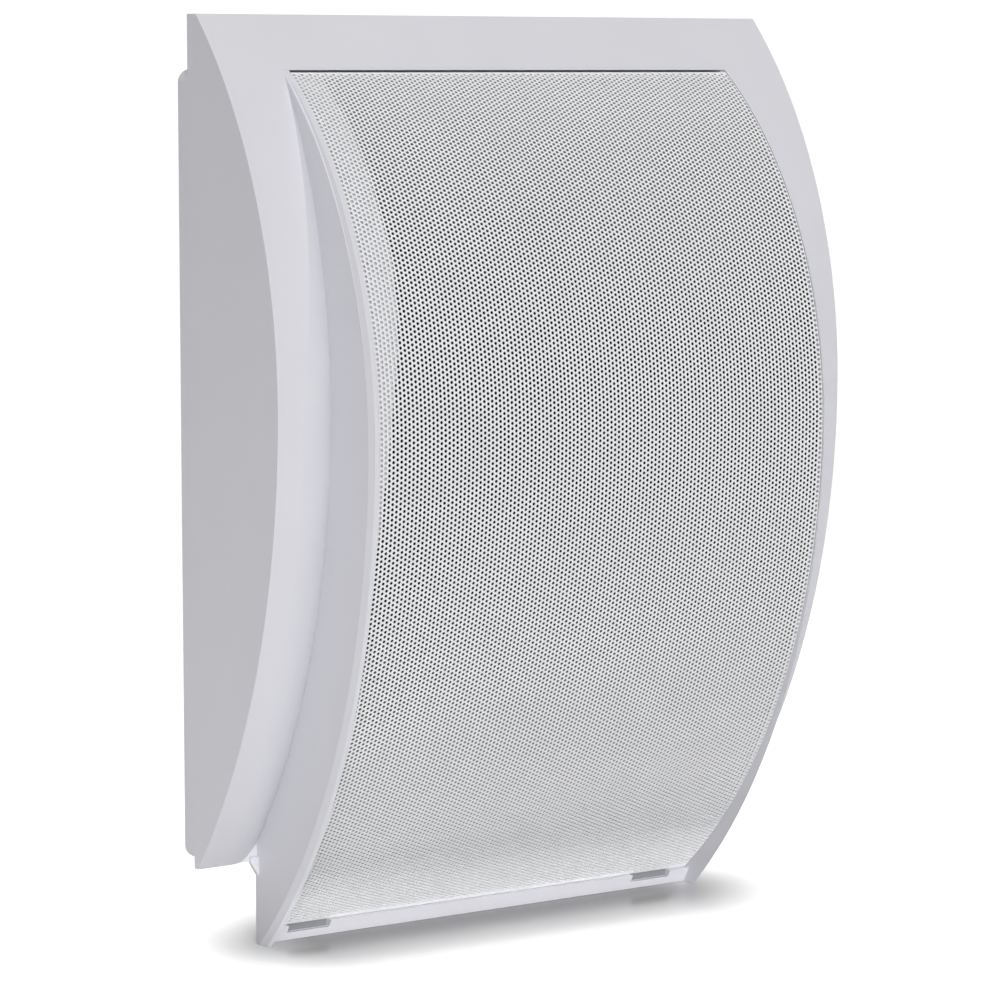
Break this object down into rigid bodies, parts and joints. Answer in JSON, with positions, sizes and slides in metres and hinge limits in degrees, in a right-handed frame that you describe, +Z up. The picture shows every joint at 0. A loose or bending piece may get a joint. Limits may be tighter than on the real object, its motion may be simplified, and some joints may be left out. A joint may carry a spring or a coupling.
{
  "type": "wall-mounted loudspeaker",
  "caption": "Wall loudspeaker with a bowed white housing, a raised curved perforated grille, a full-range driver, a line transformer and a flat wall plate.",
  "frame": {"origin": "centre of the wall plate's back face, on the wall", "axes": "+Z up along the speaker's height, +Y into the wall, so the grille faces -Y, and +X across the front to the right as seen from the front"},
  "size_m": [0.1986, 0.0823, 0.281],
  "materials": {
    "white_plastic": "satin",
    "grille_paint": "satin",
    "black_cloth": "matte",
    "black_board": "matte",
    "screw_steel": "satin",
    "basket_steel": "satin",
    "gasket": "matte",
    "surround_rubber": "satin",
    "cone_paper": "matte",
    "whizzer_paper": "matte",
    "copper": "satin",
    "spider_cloth": "matte",
    "plated_steel": "satin",
    "ferrite": "matte",
    "phenolic": "matte",
    "black_rubber": "matte",
    "black_plastic": "satin",
    "brass": "satin",
    "core_steel": "satin",
    "winding_tape": "gloss",
    "red_wire": "gloss",
    "black_wire": "gloss",
    "wadding": "matte"
  },
  "bodies": {
    "cabinet": {"front_cabinet": "white_plastic", "grille": "grille_paint", "grille_cloth": "black_cloth", "baffle_board": "black_board", "baffle_screws": "screw_steel", "driver_basket": "basket_steel", "driver_gasket": "gasket", "driver_screws": "screw_steel", "surround": "surround_rubber", "spider": "spider_cloth", "top_plate": "plated_steel", "magnet": "ferrite", "t_yoke": "plated_steel", "terminal_strip": "phenolic", "tinsel_leads": "copper", "wall_plate": "white_plastic", "retaining_screws": "screw_steel", "cable_grommet": "black_rubber", "terminal_block": "black_plastic", "clamp_screws": "brass", "block_screws": "screw_steel", "transformer_core": "core_steel", "transformer_winding": "winding_tape", "transformer_bracket": "plated_steel", "transformer_screws": "screw_steel", "driver_leads": "red_wire", "input_leads": "black_wire", "damping_pad": "wadding"},
    "moving_cone": {"cone": "cone_paper", "whizzer_cone": "whizzer_paper", "dust_cap": "cone_paper", "voice_coil": "copper"}
  },
  "joints": [
    {"name": "cone_travel", "type": "slide", "parent": "cabinet", "child": "moving_cone", "axis": [0, 1, 0], "range_m": [-0.003, 0.003], "stiffness_N_per_m": 2000, "deforming": ["surround", "spider", "tinsel_leads"]}
  ]
}
